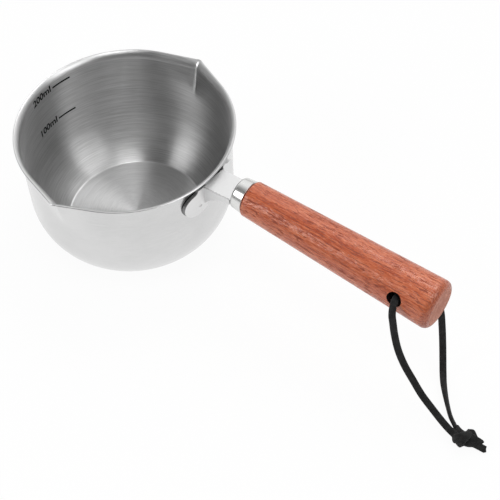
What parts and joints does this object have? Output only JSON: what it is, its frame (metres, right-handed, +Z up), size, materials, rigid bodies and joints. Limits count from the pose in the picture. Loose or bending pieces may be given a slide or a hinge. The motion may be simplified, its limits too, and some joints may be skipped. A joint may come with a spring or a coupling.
{
  "type": "butter warmer",
  "caption": "Small round-bellied steel butter warmer with pouring lips on both sides, a welded bracket, a tapered wooden grip and a hanging cord loop.",
  "frame": {"origin": "centre of the pot's flat underside, on the surface that it stands on", "axes": "+Z up along the pot's axis, +X along the handle away from the pot, +Y to the left of the handle seen from the pot"},
  "size_m": [0.2117, 0.0882, 0.054],
  "materials": {
    "brushed_steel": "brushed inside, satin outside",
    "polished_steel": "polished",
    "wood": "oiled",
    "cord": "matt suede lace"
  },
  "bodies": {
    "pan": {"pot_body": "brushed_steel", "handle_bracket": "brushed_steel", "tang_pin": "polished_steel", "ferrule": "polished_steel", "wooden_grip": "wood"},
    "cord_loop": {"cord_near_run": "cord", "cord_far_run": "cord", "cord_knot": "cord"}
  },
  "joints": [
    {"name": "loop_swing", "type": "hinge", "parent": "pan", "child": "cord_loop", "pos_m": [0.12423, 0, 0.04322], "axis": [0, -0.9563, 0.2924], "range_deg": [-40, 130]}
  ]
}
